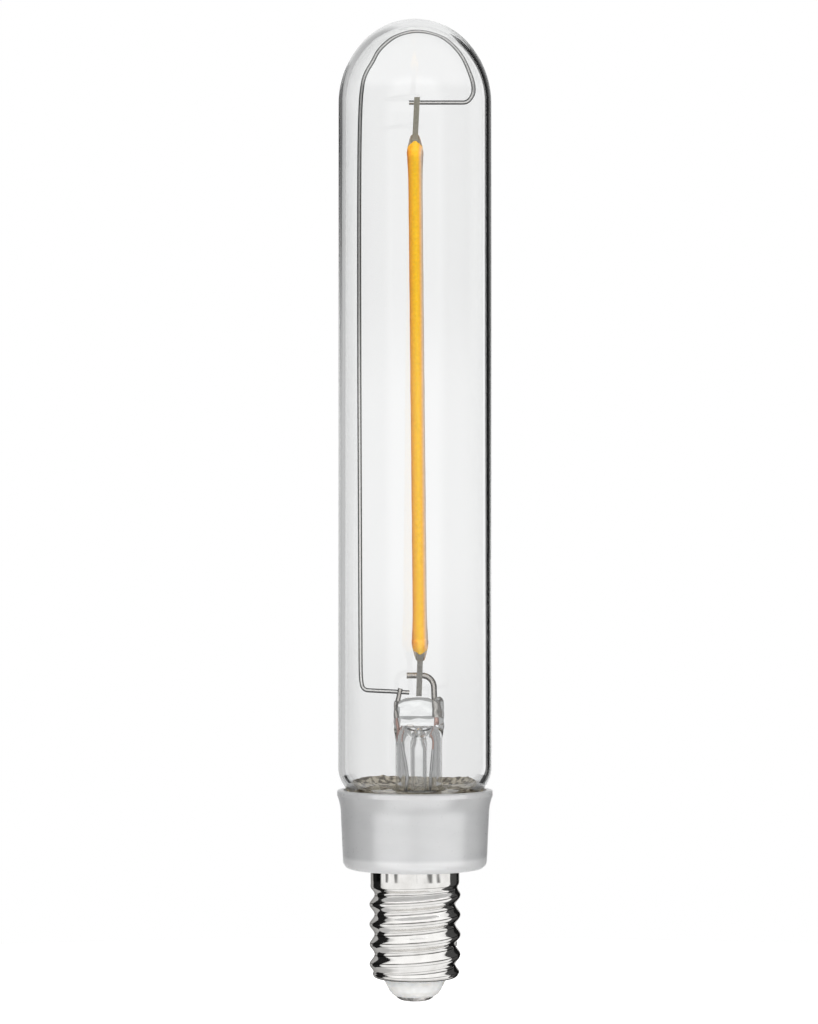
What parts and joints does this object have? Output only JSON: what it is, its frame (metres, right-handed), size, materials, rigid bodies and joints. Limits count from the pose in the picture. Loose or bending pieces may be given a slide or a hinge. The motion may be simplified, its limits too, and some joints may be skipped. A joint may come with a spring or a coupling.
{
  "type": "tubular light bulb",
  "caption": "Clear tubular light bulb with a light-emitting filament, a wire support, a frosted collar and a small screw base.",
  "frame": {"origin": "tip of the centre contact, on the axis of the screw base", "axes": "+Z along the bulb from the centre contact to the dome; +X towards the bend of the top support wire, so the filament is seen from -Y as in the picture"},
  "size_m": [0.02, 0.02, 0.1265],
  "materials": {
    "clear_glass": "clear blown glass",
    "support_steel": "drawn nickel-plated wire",
    "pin_metal": "stamped strip, slightly tan",
    "seal_copper": "copper-clad wire, dull red",
    "tinned_wire": "tinned wire",
    "phosphor": "phosphor-filled silicone",
    "strip_ceramic": "fired ceramic",
    "die": "semiconductor dies",
    "frosted_plastic": "frosted translucent moulding",
    "cement": "mottled cement",
    "nickel": "bright nickel plate",
    "insulator_plastic": "whitish moulding",
    "board": "white-masked laminate",
    "package_black": "moulded package",
    "can_aluminium": "drawn can",
    "resistor_body": "lacquered body"
  },
  "bodies": {
    "root": {"glass_envelope": "clear_glass", "stem_glass": "clear_glass", "exhaust_tube": "clear_glass", "top_support_wire": "support_steel", "left_inner_lead": "support_steel", "right_inner_lead": "support_steel", "left_seal_wire": "seal_copper", "right_seal_wire": "seal_copper", "left_outer_lead": "tinned_wire", "right_outer_lead": "tinned_wire", "filament_strip": "strip_ceramic", "filament_chips": "die", "phosphor_coat": "phosphor", "filament_top_pin": "pin_metal", "filament_bottom_pin": "pin_metal", "collar": "frosted_plastic", "glass_glue": "cement", "screw_shell": "nickel", "insulator": "insulator_plastic", "centre_contact": "nickel", "driver_board": "board", "bridge_rectifier": "package_black", "driver_chip": "package_black", "capacitor": "can_aluminium", "fuse_resistor": "resistor_body", "contact_lead": "tinned_wire", "shell_lead": "tinned_wire"}
  },
  "joints": []
}
